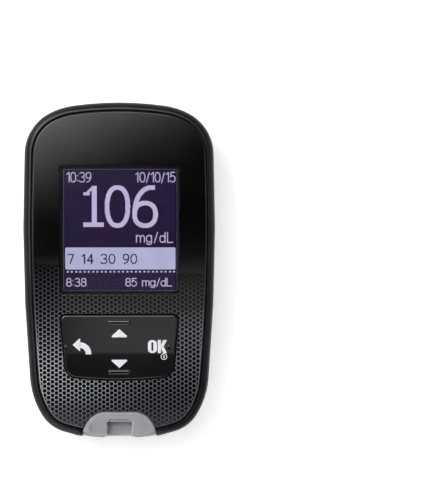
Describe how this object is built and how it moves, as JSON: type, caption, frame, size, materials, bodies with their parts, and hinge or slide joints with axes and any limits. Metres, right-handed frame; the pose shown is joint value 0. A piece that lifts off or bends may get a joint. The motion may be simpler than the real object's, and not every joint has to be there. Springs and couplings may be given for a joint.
{
  "type": "blood glucose meter",
  "caption": "Hand-held blood glucose meter: rounded two-part case, gloss face with display window, rocker key plate, strip port, side ejector and battery door.",
  "frame": {"origin": "middle of the flat back, below the centre of the meter's box, with the meter lying on its back", "axes": "+Z out of the display, +Y towards the USB end (the strip port is at -Y), +X to the right seen from the front"},
  "size_m": [0.0466, 0.0816, 0.02],
  "materials": {
    "rear_case": "fine spark texture, moulded",
    "rim": "satin, moulded",
    "cover": "gloss face with a printed honeycomb",
    "window": "clear gloss, tinted",
    "black_glue": "matte",
    "black_foam": "matte foam",
    "display": "dark violet, lit from behind",
    "diffuser": "white film",
    "light_guide": "clear moulded",
    "black_plastic": "moulded",
    "flex": "amber film",
    "keys": "satin gloss, moulded",
    "silicone": "moulded silicone",
    "steel": "plated",
    "board": "green solder mask",
    "tin": "tinned sheet",
    "components": "ceramic",
    "ivory_plastic": "moulded",
    "port_grey": "satin, moulded, light passes a little",
    "gold": "gold plated",
    "link_plastic": "moulded",
    "cell_steel": "rolled stainless",
    "contact_nickel": "nickel plated spring sheet"
  },
  "bodies": {
    "case": {"rear_case": "rear_case", "front_case": "rim", "front_cover": "cover", "display_window": "window", "window_glue": "black_glue", "display_seal": "black_foam", "display_glass": "display", "diffuser": "diffuser", "light_guide": "light_guide", "display_frame": "black_plastic", "display_flex": "flex", "snap_domes": "steel", "main_board": "board", "board_screws": "steel", "microcontroller": "black_plastic", "radio_module": "tin", "buzzer": "black_plastic", "small_components": "components", "flex_connector": "ivory_plastic", "usb_socket": "tin", "strip_port_cover": "port_grey", "strip_connector": "black_plastic", "strip_contacts": "gold", "port_lights": "light_guide", "ejector_spring": "steel", "coin_cells": "cell_steel", "positive_contacts": "contact_nickel", "negative_contacts": "contact_nickel"},
    "key_rocker": {"key_mat": "silicone"},
    "keys": {"key_plate": "keys"},
    "ejector": {"ejector_slider": "rim", "ejector_link": "link_plastic"},
    "door": {"battery_door": "rear_case"}
  },
  "joints": [
    {"name": "keys_up_down", "type": "hinge", "parent": "case", "child": "key_rocker", "pos_m": [0, -0.0187, 0.0155], "axis": [1, 0, 0], "range_deg": [-2.5, 2.5], "stiffness_Nm_per_rad": 0.3},
    {"name": "keys_left_right", "type": "hinge", "parent": "key_rocker", "child": "keys", "pos_m": [0, -0.0187, 0.0155], "axis": [0, 1, 0], "range_deg": [-1.5, 1.5], "stiffness_Nm_per_rad": 0.6},
    {"name": "eject_slide", "type": "slide", "parent": "case", "child": "ejector", "axis": [0, -1, 0], "range_m": [0, 0.003], "stiffness_N_per_m": 300, "springref_m": -0.001, "deforming": ["ejector_spring"]},
    {"name": "door_hinge", "type": "hinge", "parent": "case", "child": "door", "pos_m": [0, -0.0157, 0.0009], "axis": [-1, 0, 0], "range_deg": [0, 75]}
  ]
}
